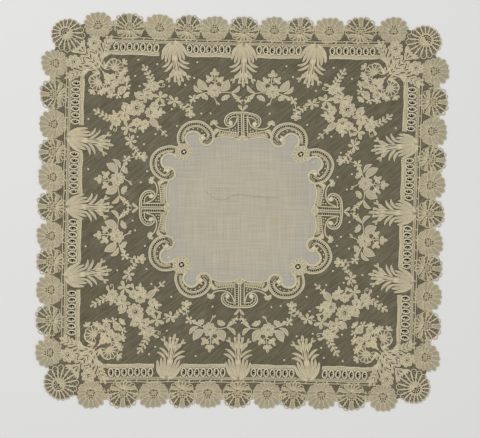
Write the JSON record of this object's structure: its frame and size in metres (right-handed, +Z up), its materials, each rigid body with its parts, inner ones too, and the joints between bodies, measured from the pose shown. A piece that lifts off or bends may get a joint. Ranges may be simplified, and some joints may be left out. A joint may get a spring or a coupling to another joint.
{
  "type": "lace handkerchief",
  "caption": "Square lace handkerchief lying flat: a linen centre in a scrolled frame, a net ground with applied flowers and palmettes, an eyelet band and a scalloped shell edging.",
  "frame": {"origin": "middle of the underside, on the surface that the cloth lies on", "axes": "+Z up out of the cloth's right side, +X along the lower edge to the right, +Y towards the upper edge"},
  "size_m": [0.3856, 0.3718, 0.0023],
  "materials": {
    "lace": "matt cream cotton cloth stitch",
    "net": "fine see-through net",
    "linen": "matt plain weave linen"
  },
  "bodies": {
    "root": {"net_ground": "net", "linen_centre": "linen", "edging_1": "lace", "band_inner_1a": "lace", "band_inner_1b": "lace", "band_outer_1a": "lace", "band_outer_1b": "lace", "palmette_left_1": "lace", "palmette_middle_1": "lace", "palmette_right_1": "lace", "corner_1": "lace", "bouquet_1": "lace", "sprig_1a": "lace", "sprig_1b": "lace", "corner_scroll_1": "lace", "bracket_1": "lace", "edging_2": "lace", "band_inner_2a": "lace", "band_inner_2b": "lace", "band_outer_2a": "lace", "band_outer_2b": "lace", "palmette_left_2": "lace", "palmette_middle_2": "lace", "palmette_right_2": "lace", "corner_2": "lace", "bouquet_2": "lace", "sprig_2a": "lace", "sprig_2b": "lace", "corner_scroll_2": "lace", "bracket_2": "lace", "edging_3": "lace", "band_inner_3a": "lace", "band_inner_3b": "lace", "band_outer_3a": "lace", "band_outer_3b": "lace", "palmette_left_3": "lace", "palmette_middle_3": "lace", "palmette_right_3": "lace", "corner_3": "lace", "bouquet_3": "lace", "sprig_3a": "lace", "sprig_3b": "lace", "corner_scroll_3": "lace", "bracket_3": "lace", "edging_4": "lace", "band_inner_4a": "lace", "band_inner_4b": "lace", "band_outer_4a": "lace", "band_outer_4b": "lace", "palmette_left_4": "lace", "palmette_middle_4": "lace", "palmette_right_4": "lace", "corner_4": "lace", "bouquet_4": "lace", "sprig_4a": "lace", "sprig_4b": "lace", "corner_scroll_4": "lace", "bracket_4": "lace"}
  },
  "joints": []
}
